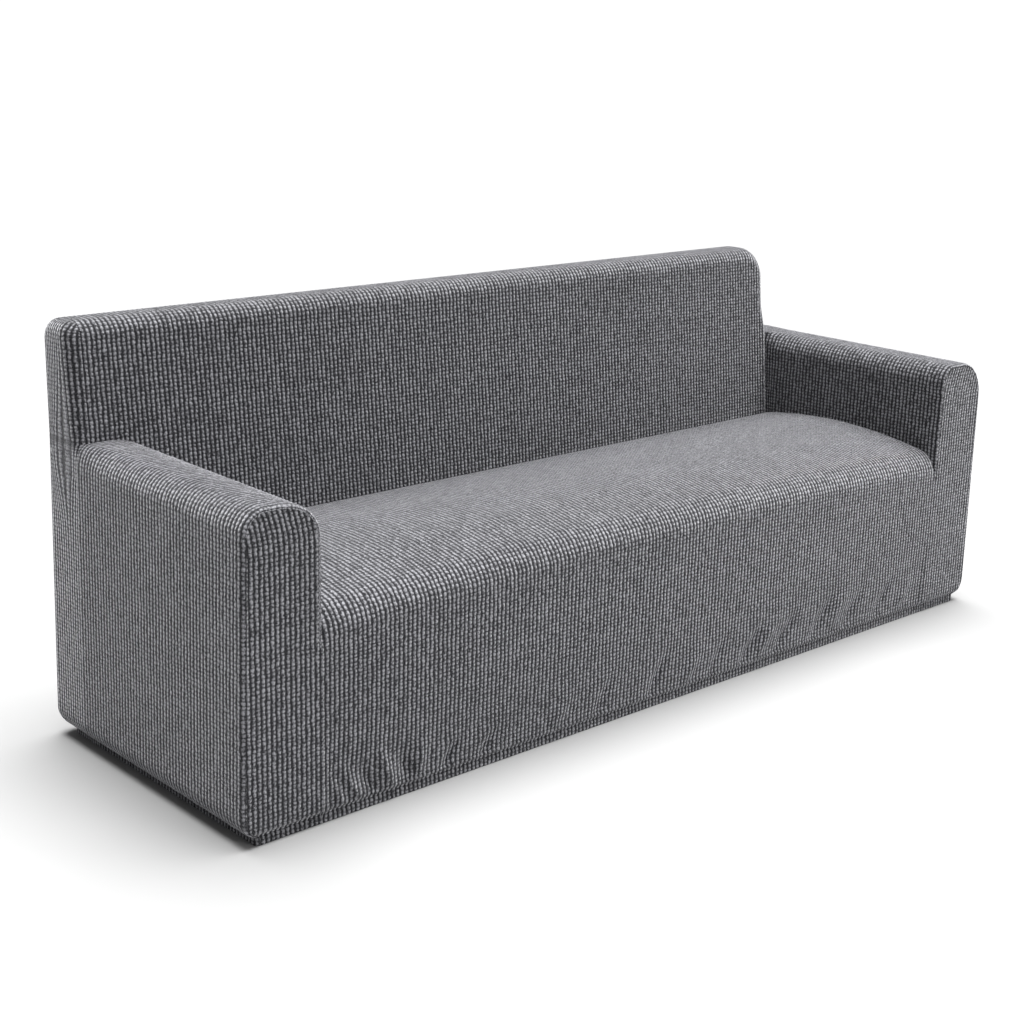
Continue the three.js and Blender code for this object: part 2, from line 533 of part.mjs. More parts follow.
function backRear() {
  const at = ([x, z]) => vec(x, rearWall(z), z);
  const rho = (k) => {
    const past = clamp01((k - (END_RISE.length - 1)) / (ARC.length - 1));
    return mix(REAR_EDGE, BACK_REAR_ROUND, past);
  };
  const inset = REAR_EDGE + LAND + SEAM_GAP;
  const outerEdge = (z) => outerWall(z) - REAR_EDGE - LAND - seamRoom(z);
  const drawnIn = OUTLINE.map((entry, k) => at(entry(rho(k))));
  const turnXs = REAR_TURNS.map((angle) => BACK_END - REAR_EDGE * (1 - Math.sin(angle)));
  const cornerX = BACK_END - BACK_CORNER;
  const plainXs = [mix(turnXs[0], cornerX, 0.5), cornerX, ...BACK_XS, ...notchXs.slice(1)];
  const lowRow = (z, right) => [
    right,
    mix(right, BACK_END, 0.5),
    ...[...turnXs].reverse(),
    ...plainXs,
    -outerEdge(z),
  ].map((x) => at([x, z]));
  const radius = ARM_OUTER_ROUND - inset;
  const low = [
    ...WALL_ROWS.map((z) => lowRow(z, outerEdge(z))),
    ...ROLL.slice(1).map((angle) => (
      lowRow(OUTER_TOP + radius * Math.sin(angle), HALF - ARM_OUTER_ROUND + radius * Math.cos(angle))
    )),
  ];
  const join = low.at(-1).slice(1 + turnXs.length);
  const shelf = join[0].z;
  const fadeRows = [shelf, mix(shelf, BACK_JOIN, 0.5), mix(shelf, BACK_JOIN, 0.8), BACK_JOIN];
  const fade = (z) => 1 - Math.sqrt(1 - clamp01((z - ARM_HEIGHT + REAR_EDGE) / REAR_EDGE) ** 2);
  const rise = [...fadeRows.slice(0, -1).map((z) => at([turnXs[0], z])), ...drawnIn.slice(0, CORNER + 1)];
  const leftZs = steps(shelf, HEIGHT - BACK_REAR_ROUND, rise.length - 1);
  const left = leftZs.map((z) => at([-outerEdge(z), z]));
  const top = drawnIn.slice(CORNER);
  const main = patch(join, top, rise, left);
  const turned = (angle) => (entry, k) => {
    const [x, z] = entry(rho(k) * (1 - Math.sin(angle)));
    return vec(x, DEPTH - rho(k) * (1 - Math.cos(angle)), z);
  };
  const strip = grid(fadeRows, REAR_TURNS, (z, angle) => vec(
    BACK_END - REAR_EDGE * (1 - Math.sin(angle)),
    DEPTH - REAR_EDGE * (1 - Math.cos(angle)) * fade(z),
    z,
  ));
  const rim = OUTLINE.map((entry) => vec(entry(0)[0], SEAM_LINE, entry(0)[1]));
  const grids = [low, main, strip, [...REAR_TURNS.map((angle) => OUTLINE.map(turned(angle))), rim]];
  const inside = vec(0, SEAM_LINE - BACK_REAR_ROUND, HEIGHT / 2);
  return sheet(...grids.map((rows) => facesOf(rows, inside)));
}

// ---- seat and front skirt in one panel ---------------------------------------------------------
const SKIRT_ROWS = [0, HEM_HEIGHT, 26, FRONT_TURN_TOP, 56, 84, 118, 170, 260, INNER_FOOT];
const SKIRT_COLUMNS = 60;
const SEAT_YS = [130, 290, 430];
const SIDE_STEPS = [0, 1.5, 6, 14, SEAT_SIDE_ROLL];
const REAR_STEPS = [SEAT_SIDE_ROLL, 8, 0];
const SEAT_REAR_GAP = 2 * SEAM_GAP; // the seat's rear edge follows a turned face, so it keeps more room
const rollDrop = (distance) => {
  const t = clamp01(1 - distance / SEAT_SIDE_ROLL);
  return SEAT_SIDE_DROP * (1 - Math.sqrt(1 - t * t));
};

// Where the seat meets the back, whose right end turns away from it. The seat follows this share
// of the turn.
const TURN_SHARE = 0.7;
const pastTurn = (x) => clamp01((x - (BACK_END - BACK_FOLD)) / BACK_FOLD);
function seatRear(x, z) {
  const past = TURN_SHARE * pastTurn(x);
  return backFace(z) + BACK_FOLD * (1 - Math.sqrt(1 - past * past)) - SEAT_REAR_GAP;
}

function seat() {
  const edge = INNER - SEAM_GAP;
  const sides = SIDE_STEPS.map((d) => edge - d);
  const middle = steps(-sides.at(-1), sides.at(-1), SKIRT_COLUMNS).slice(1, -1);
  const xs = [...sides.map((x) => -x), ...middle, ...[...sides].reverse()];
  const skirtTop = (x) => seatHeight(x, 0) - SEAT_ROUND;
  const skirt = SKIRT_ROWS.map((z) => (x) => vec(x, frontWall(z) - skirtRelief(x, z), z));
  const upper = (x) => vec(x, rollDrop(edge - Math.abs(x)), skirtTop(x));
  const turn = quarter(3).slice(1).map((angle) => (x) => {
    const y = SEAT_ROUND * (1 - Math.cos(angle));
    const z = seatHeight(x, y) - SEAT_ROUND * (1 - Math.sin(angle));
    const drop = rollDrop(edge - Math.abs(x));
    return vec(x, y + drop * Math.cos(angle), z - drop * Math.sin(angle));
  });
  const deck = SEAT_YS.map((y) => (x) => vec(x, y, seatHeight(x, y) - rollDrop(edge - Math.abs(x))));
  const rear = REAR_STEPS.map((distance) => (x) => {
    const drop = Math.hypot(rollDrop(distance) * (1 - pastTurn(x)), rollDrop(edge - Math.abs(x)));
    const z = seatHeight(x, backFace(SEAT_REAR) - distance) - drop;
    return vec(x, seatRear(x, z) - distance, z);
  });
  const rows = grid([...skirt, upper, ...turn, ...deck, ...rear], xs, (at, x) => at(x));
  return sheet(facesOf(rows, vec(0, DEPTH / 2, INNER_FOOT / 2)));
}

// ---- the cover ---------------------------------------------------------------------------------
const SEAT_GREY = 0x77777b;
const UPRIGHT_GREY = 0x68686c;
const panels = {
  seat: [seat(), SEAT_GREY],
  back_front: [backFront(), UPRIGHT_GREY],
  back_rear: [backRear(), UPRIGHT_GREY],
  side_left: [sideLeft(), UPRIGHT_GREY],
  side_right: [sideRight(), UPRIGHT_GREY],
  arm_front_left: [armFront(-1), UPRIGHT_GREY],
  arm_front_right: [armFront(1), UPRIGHT_GREY],
};

const cover = new THREE.Group();
for (const [name, [geometry, color]] of Object.entries(panels)) {
  const cloth = new THREE.MeshStandardMaterial({ color, roughness: 0.95, metalness: 0 });
  const panel = new THREE.Mesh(geometry, cloth);
  panel.name = name;
  cover.add(panel);
}

export default cover;
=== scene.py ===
"""Looks of the sofa slipcover: seven knitted panels, each a fine sheet on the form of its CAD solid."""
import math

import bpy
import numpy as np
from mathutils import Matrix, Vector


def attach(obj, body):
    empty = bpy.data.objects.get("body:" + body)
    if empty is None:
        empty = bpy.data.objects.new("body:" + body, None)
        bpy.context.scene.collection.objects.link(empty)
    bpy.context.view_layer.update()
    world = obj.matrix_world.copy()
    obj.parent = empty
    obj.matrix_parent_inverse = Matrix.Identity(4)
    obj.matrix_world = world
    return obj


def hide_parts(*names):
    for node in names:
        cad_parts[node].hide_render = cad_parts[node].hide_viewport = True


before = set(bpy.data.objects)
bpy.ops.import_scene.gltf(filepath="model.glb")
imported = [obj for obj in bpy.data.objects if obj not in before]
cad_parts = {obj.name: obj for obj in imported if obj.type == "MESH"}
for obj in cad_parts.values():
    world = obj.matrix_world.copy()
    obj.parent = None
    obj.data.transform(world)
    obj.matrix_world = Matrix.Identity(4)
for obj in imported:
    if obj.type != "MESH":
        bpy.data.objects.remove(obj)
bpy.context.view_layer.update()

# ---- sizes in millimetres, as in the solids; y is measured from the front -------------------
LENGTH, DEPTH, HEIGHT = 2200.0, 690.0, 860.0
SEAM_GAP = 0.3

# The walls: how far they flare down to the floor, the hem band's height, and how far, from what
# height, each wall turns in to the hem.
FLARE, HEM_HEIGHT = 14.0, 20.0
SIDE_TURN, REAR_TURN, TURN_TOP = 33.0, 16.0, 62.0
FRONT_TURN, FRONT_TURN_TOP = 7.0, 34.0

# The arms, with the right one's fuller outer edge, and the foot of their inner walls.
ARM_HEIGHT, ARM_WIDTH, ARM_OUTER_ROUND = 628.0, 162.0, 46.0
RIGHT_OUTER_WIDTH, RIGHT_OUTER_DROP, RIGHT_CROWN = 82.0, 90.0, 6.0
INNER_FOOT = 348.0

# Inner edges of the arms' tops: width, drop, and fullness, where 2 is a plain ellipse.
LEFT_INNER, RIGHT_INNER = (100.0, 80.0, 2.35), (40.0, 40.0, 2.0)

# Rounds where a side panel turns to its seam, and the flat strip of cloth past the round.
FRONT_EDGE, FRONT_LAND = 6.0, 1.0
REAR_EDGE, END_EDGE, LAND = 24.0, 24.0, 4.0

# The back: depth and lean, the rounds of its top and right end, and the fold beside the right arm.
BACK_TOP_DEPTH, BACK_RAKE, BACK_FOOT = 102.0, 0.1, 390.0
BACK_FRONT_ROUND, BACK_REAR_ROUND, BACK_CORNER, TOP_SEAM = 32.0, 40.0, 76.0, 55.0
BACK_FOLD, FOLD_RISE = 8.0, 92.0

# The seat: heights at the rear and the front, its crown, and how its sides roll down.
SEAT_REAR, SEAT_EDGE, SEAT_ROUND = 423.0, 420.0, 46.0
SEAT_CROWN_DEPTH, SEAT_CROWN_WIDTH, SEAT_CROWN_FADE = 26.0, 22.0, 1.6
SEAT_SIDE_DROP, SEAT_SIDE_ROLL = 12.0, 30.0

# The skirt drawn in towards the hem, the fades of its pulls at the hem and the sides, how much
# deeper than in the solid they are, and the fold along the hem band.
PULL_DRAW, PULL_DRAW_TOP, PULL_FADE, PULL_SIDE = 4.2, 230.0, 14.0, 25.0
PULL_DEEPEN, CREASE_DEPTH = 1.4, 3.4

# How strongly the ribs lean and gather at a pull, and how far beside and along it.
RIB_LEAN, RIB_GATHER, GATHER_SPREAD, GATHER_LENGTH = 0.3, 0.14, 5.0, 1.4

HALF = LENGTH / 2
INNER = HALF - ARM_WIDTH
BACK_END = INNER - SEAM_GAP
OUTER_TOP = ARM_HEIGHT - ARM_OUTER_ROUND
BACK_JOIN = ARM_HEIGHT + SEAM_GAP
LEFT_SEAM = HALF - END_EDGE - LAND
SEAM_LINE = DEPTH - TOP_SEAM
NOTCH_FOOT = ARM_HEIGHT - LEFT_INNER[1]
QUARTER = math.pi / 2

# The knit: ribs RIB apart with a bump every STITCH along them, raised RELIEF.
RIB, STITCH, RELIEF = 10.6, 8.4, 1.3
HALF_RIB, HALF_STITCH = RIB / 2, STITCH / 2

# Soft pulls above the front hem: x, z, lean in degrees, length, width, rise.
PULLS = (
    (-905, 52, -24, 78, 9, 3.2), (-872, 60, -22, 84, 10, 3.6), (-832, 56, -26, 70, 12, -4.0),
    (-790, 66, -16, 88, 13, 4.2), (-745, 62, -10, 60, 14, -5.0), (-704, 66, 8, 66, 13, 3.6),
    (-632, 50, 34, 50, 13, -4.4), (-534, 48, 40, 56, 13, -3.0), (-335, 60, 30, 70, 16, 2.4),
    (-210, 66, 26, 80, 16, -2.6), (-45, 72, 24, 90, 15, -4.0), (60, 58, 32, 70, 15, 3.4),
    (150, 66, 30, 76, 15, -2.8), (267, 68, 36, 92, 15, -4.6), (325, 76, 36, 96, 16, 3.8),
    (390, 72, 38, 96, 15, -4.4), (523, 80, 34, 100, 17, -4.2), (585, 84, 32, 92, 17, 3.4),
    (641, 74, 34, 84, 16, -3.6), (765, 78, 36, 84, 16, -3.2), (850, 66, 30, 60, 14, 2.4),
)


# ---- the cover's form ------------------------------------------------------------------------
def clamp01(t):
    return np.clip(t, 0.0, 1.0)


def smooth(t):
    t = clamp01(t)
    return t * t * (3 - 2 * t)


def mix(a, b, t):
    return a + (b - a) * t


def turn_in(z, amount, top):
    """How far a wall has turned in at height z, on a quarter round from top down to the hem band."""
    t = clamp01((top - z) / (top - HEM_HEIGHT))
    return amount * (1 - np.sqrt(1 - t * t))


def outer_wall(z):
    """An arm's outer wall, as a distance from the middle of the sofa."""
    return HALF + FLARE * clamp01(1 - z / ARM_HEIGHT) - turn_in(z, SIDE_TURN, TURN_TOP)


def front_wall(z):
    return turn_in(z, FRONT_TURN, FRONT_TURN_TOP)


def rear_wall(z):
    return DEPTH - turn_in(z, REAR_TURN, TURN_TOP)


def back_face(z):
    return DEPTH - BACK_TOP_DEPTH - BACK_RAKE * (HEIGHT - z)


BACK_AT_ARM = float(back_face(ARM_HEIGHT))


def inner_over(angle, width, full):
    """An arm's inner edge, from its inner wall at angle 0 to its top: how far from the inner face."""
    return width * (1 - np.cos(angle) ** (2 / full))


def inner_up(angle, drop, full):
    """And how high above the inner wall."""
    return drop * np.sin(angle) ** (2 / full)


def right_form(share):
    """The right arm's outer edge, plain at the rear (0) and full at the front (1): width, foot, height."""
    height = mix(ARM_OUTER_ROUND, RIGHT_OUTER_DROP, share)
    foot = ARM_HEIGHT + share * RIGHT_CROWN - height
    return mix(ARM_OUTER_ROUND, RIGHT_OUTER_WIDTH, share), foot, height


def end_round(z):
    """Turn of the back's right end, a tight fold beside the arm that opens above it."""
    return mix(BACK_FOLD, BACK_FRONT_ROUND, smooth((z - BACK_JOIN) / FOLD_RISE))


def seat_height(x, y):
    middle = (back_face(SEAT_REAR) + SEAT_ROUND) / 2
    reach = back_face(SEAT_REAR) - middle
    along = 1 - ((y - middle) / reach) ** 2
    across = 1 - (x / INNER) ** 2
    level = mix(SEAT_EDGE, SEAT_REAR, clamp01(y / back_face(SEAT_REAR)))
    fading = clamp01(SEAT_CROWN_FADE - y / reach)
    return level + SEAT_CROWN_DEPTH * along + SEAT_CROWN_WIDTH * across * fading


def pull_axes(x, z, middle_x, middle_z, lean):
    """Distances across and along a pull, the height above its middle, and the sine of its lean."""
    c, s = math.cos(math.radians(lean)), math.sin(math.radians(lean))
    dx, dz = x - middle_x, z - middle_z
    return dx * c - dz * s, dx * s + dz * c, dz, s


def side_fade(x):
    """Fades the skirt's unevenness out beside the arms."""
    return smooth((INNER - np.abs(x)) / PULL_SIDE)


def hem_fade(z):
    """And down at the hem band."""
    return smooth((z - HEM_HEIGHT) / PULL_FADE)


def skirt_relief(x, z):
    """How far the skirt stands forward of its plain wall."""
    relief = np.zeros(np.broadcast(x, z).shape)
    for middle_x, middle_z, lean, length, width, rise in PULLS:
        across, along, _, _ = pull_axes(x, z, middle_x, middle_z, lean)
        relief += rise * np.exp(-((across / width) ** 2) - (2 * along / length) ** 2)
    drawn = PULL_DRAW * smooth((PULL_DRAW_TOP - z) / PULL_DRAW_TOP)
    return (relief * PULL_DEEPEN - drawn) * side_fade(x) * hem_fade(z)


def drawn_ribs(x, z):
    """How far the ribs are drawn sideways, towards the pulls."""
    shift = np.zeros(np.broadcast(x, z).shape)
    for middle_x, middle_z, lean, length, width, _ in PULLS:
        across, along, above, s = pull_axes(x, z, middle_x, middle_z, lean)
        near = np.exp(-((across / width) ** 2) / GATHER_SPREAD - (GATHER_LENGTH * along / length) ** 2)
        shift += near * (above * s * RIB_LEAN - across * RIB_GATHER)
    return shift * side_fade(x) * hem_fade(z)


def hem_crease(z):
    """Depth of the fold along the top of the hem band."""
    return CREASE_DEPTH * np.exp(-((z - HEM_HEIGHT - HALF_STITCH / 4) / HALF_STITCH) ** 2)


# ---- sheets ----------------------------------------------------------------------------------
END_CLEAR = 0.15
MERGE, LEAST_AREA = 0.02, 1e-3

# Rings past a sheet's edge: how far in and how high at the hem, and how deep at a seam.
RIM_RINGS = ((1.6, 0.0, 1.4), (3.4, 1.4, 4.0), (3.6, 22.0, 4.0))

# A seam's lip also spreads outwards, by this share of its depth and no more than the reach. An
# edge below ON_FLOOR is the hem's. Each ring takes RING_CELLS of the knit.
LIP_SPREAD, LIP_REACH = 0.25, 0.7
ON_FLOOR, RING_CELLS = 2.5, 0.35


def column(values):
    """Values as one column, to be set against a row."""
    return np.asarray(values, dtype=float)[:, None]


def half_steps(start, stop, step):
    """Whole multiples of step strictly between start and stop, with both ends."""
    first, last = math.ceil(start / step + END_CLEAR), math.floor(stop / step - END_CLEAR)
    return np.concatenate([[start], np.arange(first, last + 1) * step, [stop]])


def unit(vectors, least):
    """Vectors of length 1, or shorter where they are shorter than least."""
    return vectors / np.maximum(np.linalg.norm(vectors, axis=1, keepdims=True), least)


def weave_relief(u, v):
    """Height of the knit, 0 to 1, where a whole step of u is a rib and one of v a bump."""
    rib = 0.5 - 0.5 * np.cos(2 * math.pi * u)
    bump = 0.5 - 0.5 * np.cos(2 * math.pi * v)
    return rib * (0.5 + 0.5 * bump)


class Cloth:
    """Grids of points in millimetres that join into one sheet, with weave coordinates u, v."""

    def __init__(self):
        self.points, self.uv, self.quads = [], [], []
        self.count = 0

    def add(self, x, y, z, u, v, keep=None):
        """x to v broadcast to one grid (rows, columns); keep marks the points that are cloth."""
        x, y, z, u, v = np.broadcast_arrays(x, y, z, u, v)
        ids = self.count + np.arange(x.size).reshape(x.shape)
        quads = np.stack([ids[:-1, :-1], ids[:-1, 1:], ids[1:, 1:], ids[1:, :-1]], -1).reshape(-1, 4)
        if keep is not None:
            real = np.broadcast_to(keep, x.shape).ravel()
            quads = quads[real[quads - self.count].any(1)]
        self.points.append(np.stack([x, y, z], -1).reshape(-1, 3))
        self.uv.append(np.stack([u, v], -1).reshape(-1, 2))
        self.quads.append(quads)
        self.count += x.size

    def mesh(self, inside):
        """The joined grids, raised by the knit: points, normals, faces and the uv of their corners."""
        points, uv, quads = (np.concatenate(parts) for parts in (self.points, self.uv, self.quads))
        keys = np.round(points / MERGE).astype(np.int64)
        _, first, same = np.unique(keys, axis=0, return_index=True, return_inverse=True)
        points = points[first]
        faces = same.reshape(-1)[quads]
        a, b, c, d = (points[faces[:, k]] for k in range(4))
        normal = np.cross(c - a, d - b)
        if (normal * (a - np.array(inside))).sum() < 0:
            quads, faces, normal = quads[:, ::-1], faces[:, ::-1], -normal
        good = np.linalg.norm(normal, axis=1) > LEAST_AREA
        quads, faces, normal = quads[good], faces[good], normal[good]
        normals = unit(np.stack([
            np.bincount(faces.ravel(), np.repeat(normal[:, k], 4), len(points)) for k in range(3)
        ], -1), 1e-9)
        height = RELIEF * weave_relief(*uv[first].T)
        return points + normals * height[:, None], normals, faces, uv[quads]


def open_edges(faces, uv, count):
    """The edges that only one face has: their ends, and the uv at each end."""
    start, end = faces.ravel(), np.roll(faces, -1, axis=1).ravel()
    code = start.astype(np.int64) * count + end
    back = end.astype(np.int64) * count + start
    loose = ~np.isin(code, back) & (start != end)
    uv_end = np.roll(uv, -1, axis=1).reshape(-1, 2)[loose]
    return start[loose], end[loose], uv.reshape(-1, 2)[loose], uv_end


def rim_rings(points, normals, rim_a, rim_b, used):
    """The rim's own points again, so that a lip is shaded apart, and the rings past them."""
    along = np.cross(points[rim_b] - points[rim_a], normals[rim_a])
    spread = np.zeros((len(points), 3))
    np.add.at(spread, rim_a, along)
    np.add.at(spread, rim_b, along)
    outwards = unit(spread[used], 1e-6)
    level = unit(normals[used] * [1, 1, 0], 1e-6)
    at_hem = points[used, 2:] < ON_FLOOR
    rings = [points[used]]
    for inward, rise, lip in RIM_RINGS:
        seam = points[used] - normals[used] * lip + outwards * min(lip * LIP_SPREAD, LIP_REACH)
        hem = points[used] - level * inward
        hem[:, 2] = rise
        rings.append(np.where(at_hem, hem, seam))
    return rings


def build(name, cloth, inside):
    """The Blender mesh of a panel, with a turned hem and lips that close its seams."""
    points, normals, faces, uv = cloth.mesh(inside)
    rim_a, rim_b, uv_a, uv_b = open_edges(faces, uv, len(points))
    used = np.unique(np.concatenate([rim_a, rim_b]))
    hem_a, hem_b = points[rim_a, 2] < ON_FLOOR, points[rim_b, 2] < ON_FLOOR
    rings = rim_rings(points, normals, rim_a, rim_b, used)
    all_faces, all_uv, soft = [faces], [uv], [np.ones(len(faces), dtype=bool)]
    outer_a, outer_b = (len(points) + np.searchsorted(used, ends) for ends in (rim_a, rim_b))
    depth = 0.0
    for k, (_, _, lip) in enumerate(RIM_RINGS, 1):
        inner_a, inner_b = outer_a + len(used), outer_b + len(used)
        step = [0, k * RING_CELLS]
        quad_uv = np.stack([uv_b, uv_a, uv_a - step, uv_b - step], 1)
        # Seam lips take uv 0, the knit's dark valley tone: painted shade down in the seam gaps.
        quad_uv[~hem_a] = 0
        lasting = hem_a | hem_b | (lip != depth)
        all_faces.append(np.stack([outer_b, outer_a, inner_a, inner_b], -1)[lasting])
        all_uv.append(quad_uv[lasting])
        soft.append(hem_a[lasting])
        outer_a, outer_b, depth = inner_a, inner_b, lip
    points = (np.concatenate([points, *rings]) - [0, DEPTH / 2, 0]) / 1000
    faces, uv, soft = (np.concatenate(parts) for parts in (all_faces, all_uv, soft))
    kept_points, places = np.unique(faces, return_inverse=True)
    polygons, corners, smooth_faces = [], [], []
    for face, corner, is_soft in zip(places.reshape(faces.shape).tolist(), uv.tolist(), soft.tolist()):
        kept = [k for k in range(4) if face[k] != face[k - 1]]
        if len(kept) >= 3 and len({face[k] for k in kept}) == len(kept):
            polygons.append([face[k] for k in kept])
            corners.extend(corner[k] for k in kept)
            smooth_faces.append(is_soft)
    mesh = bpy.data.meshes.new(name)
    mesh.from_pydata(points[kept_points].tolist(), [], polygons)
    layer = mesh.uv_layers.new(name="weave")
    layer.uv.foreach_set("vector", np.array(corners, dtype=np.float32).ravel())
    mesh.polygons.foreach_set("use_smooth", np.array(smooth_faces, dtype=bool))
    mesh.update()
    mesh.validate()
    piece = bpy.data.objects.new(name, mesh)
    bpy.context.scene.collection.objects.link(piece)
    return piece


# ---- seat and skirt --------------------------------------------------------------------------
# Rows of half a stitch: evenly spaced ones at the hem, all of the skirt, the roll, and the seat.
SKIRT_EVEN, SKIRT_ROWS, ROLL_ROWS, DECK_ROWS = 28, 92, 17, 119

# The seat's rear edge: its gap to the back, how much of the back's fold it follows at the right
# end, and how late it leans with the back.
SEAT_REAR_GAP, TURN_SHARE, LEAN_POWER = 2 * SEAM_GAP, 0.7, 8

# The side roll's share at the front edge, and the depth over which it becomes full.
FRONT_ROLL_SHARE, ROLL_DEEPENS = 0.35, 160.0


def roll_drop(distance):
    """How far the seat has rolled down at a distance from its side or rear edge."""
    t = clamp01(1 - distance / SEAT_SIDE_ROLL)
    return SEAT_SIDE_DROP * (1 - np.sqrt(1 - t * t))


def seat():
    edge = INNER - SEAM_GAP
    x = half_steps(-edge, edge, HALF_RIB)[None, :]
    side = roll_drop(edge - np.abs(x)) * FRONT_ROLL_SHARE

    # The skirt, from the floor to the foot of the rolled edge.
    top = seat_height(x, 0) - SEAT_ROUND
    row = column(np.arange(SKIRT_ROWS + 1))
    even = np.minimum(row, SKIRT_EVEN) * HALF_STITCH
    rest = clamp01((row - SKIRT_EVEN) / (SKIRT_ROWS - SKIRT_EVEN))
    skirt_z = even + (top - SKIRT_EVEN * HALF_STITCH) * rest
    rolled = side * clamp01((skirt_z - INNER_FOOT) / (top - INNER_FOOT))
    skirt_y = front_wall(skirt_z) - skirt_relief(x, skirt_z) + rolled + hem_crease(skirt_z) * side_fade(x)
    skirt_x = x + drawn_ribs(x, skirt_z)

    # The rolled front edge.
    angle = column(np.arange(1, ROLL_ROWS + 1)) / ROLL_ROWS * QUARTER
    plain_y = SEAT_ROUND * (1 - np.cos(angle)) + 0 * x
    plain_z = seat_height(x, plain_y) - SEAT_ROUND * (1 - np.sin(angle))
    roll_y, roll_z = plain_y + side * np.cos(angle), plain_z - side * np.sin(angle)

    # The seat, back to its seam with the back.
    past = clamp01((x - (BACK_END - BACK_FOLD)) / BACK_FOLD)
    rear_turn = BACK_FOLD * (1 - np.sqrt(1 - (TURN_SHARE * past) ** 2)) - SEAT_REAR_GAP
    rear = back_face(SEAT_REAR) + rear_turn
    t = column(np.arange(1, DECK_ROWS + 1)) / DECK_ROWS
    deck_y = mix(SEAT_ROUND, rear, t)
    deepening = mix(FRONT_ROLL_SHARE, 1, smooth((deck_y - SEAT_ROUND) / ROLL_DEEPENS)) / FRONT_ROLL_SHARE
    deck_z = seat_height(x, deck_y) - np.hypot(roll_drop(rear - deck_y) * (1 - past), side * deepening)
    deck_y = deck_y - BACK_RAKE * (SEAT_REAR - deck_z) * t ** LEAN_POWER

    y = np.concatenate([skirt_y, roll_y, deck_y])
    z = np.concatenate([skirt_z, roll_z, deck_z])
    drawn_x = np.concatenate([skirt_x, x + 0 * y[len(skirt_x):]])
    cloth = Cloth()
    cloth.add(drawn_x, y, z, x / RIB, column(np.arange(len(y))) / 2)
    return build("seat_cover", cloth, (0, DEPTH / 2, INNER_FOOT / 2))


# ---- back ------------------------------------------------------------------------------------
def wrap(x, z, end_radius, top_radius):
    """Wraps flat cloth round the back's right end and top: new x, z, depth behind the face."""
    cx, cz = BACK_END - BACK_CORNER, HEIGHT - BACK_CORNER
    corner = (x > cx) & (z > cz)
    angle = np.arctan2(z - cz, x - cx)
    rho = np.where(corner, mix(end_radius, top_radius, clamp01(angle / QUARTER)),
                   np.where(z > cz, top_radius, end_radius))
    at_end = (x > cx) & ~corner
    nx = np.where(corner, np.cos(angle), np.where(at_end, 1.0, 0.0))
    nz = np.where(corner, np.sin(angle), np.where(at_end, 0.0, 1.0))
    past = np.where(corner, np.hypot(x - cx, z - cz) - (BACK_CORNER - rho),
                    np.where(at_end, x - (BACK_END - rho), z - (HEIGHT - rho)))
    past = np.maximum(past, 0)
    turn = np.minimum(past / rho, QUARTER)
    shift = rho * np.sin(turn) - past
    depth = rho * (1 - np.cos(turn)) + np.maximum(past - rho * QUARTER, 0)
    return x + nx * shift, z + nz * shift, depth


def past_round(edge, radius, spare):
    """Where flat cloth ends that turns round an edge and runs on by a spare length."""
    return edge - radius + radius * QUARTER + spare


# The lengthwise seam on the back's top, a narrow strip: where it runs, how far its two edges lie
# before the panel's own rim, and its rise.
RIDGE_START, RIDGE_END, RIDGE_POINTS = -LEFT_SEAM + 60, BACK_END - BACK_CORNER, 200
RIDGE_EDGES, RIDGE_RISE = (5.0, 0.2), 0.6

# Cloth laid out past the rounds, more than enough to reach the seam.
FRONT_END_SPARE, FRONT_TOP_SPARE, REAR_TOP_SPARE = 60, 40, 30


def back_front():
    cloth = Cloth()
    rim = SEAM_LINE - SEAM_GAP
    right = past_round(BACK_END, BACK_FRONT_ROUND, FRONT_END_SPARE)
    top = past_round(HEIGHT, BACK_FRONT_ROUND, FRONT_TOP_SPARE)

    def add(x, z, lowest):
        z = np.maximum(z, lowest)
        x = x + 0 * z
        nx, nz, depth = wrap(x, z, end_round(z), BACK_FRONT_ROUND)
        y = back_face(nz) + depth
        cloth.add(nx, np.minimum(y, rim), nz, x / RIB, z / STITCH, keep=(y < rim) & (z >= lowest))

    zs = column(half_steps(BACK_FOOT, top, HALF_STITCH))
    add(half_steps(-BACK_END, right, HALF_RIB)[None, :], zs, BACK_FOOT)

    # The part that stands on the left arm, with its lower edge along the arm's top.
    left = half_steps(-(LEFT_SEAM - SEAM_GAP), -BACK_END, HALF_RIB)[None, :]
    width, drop, full = LEFT_INNER
    across = clamp01((-left - BACK_END) / (width + SEAM_GAP))
    notch = NOTCH_FOOT + (drop + SEAM_GAP) * (1 - (1 - across) ** full) ** (1 / full)
    add(left, zs[zs[:, 0] > NOTCH_FOOT - HALF_STITCH], notch)

    ridge = np.linspace(RIDGE_START, RIDGE_END, RIDGE_POINTS)[None, :]
    # The strip takes uv 0, the knit's dark valley tone: painted shade along the top seam.
    cloth.add(ridge, rim - column(RIDGE_EDGES), HEIGHT + RIDGE_RISE, 0, 0)
    return build("back_front_cover", cloth, (0, DEPTH - BACK_REAR_ROUND, HEIGHT / 2))


# Below the back's top the rear panel's columns are drawn together on the right, from this x and
# between these heights, and on the left they follow the flare of the arm.
NARROW_FROM, NARROW_FOOT, NARROW_RISE = 700.0, 450.0, 140.0
FLARE_FROM, FLARE_WIDTH = 900.0, 160.0

# Half ribs of cloth past the right end's round, which only show above the arm.
END_LAND_COLUMNS, LEAST_ROW = 7, 1.0


def outer_edge(z):
    """The rear panel's outer edge on the arms, as a distance from the middle."""
    return outer_wall(z) - REAR_EDGE - LAND - SEAM_GAP


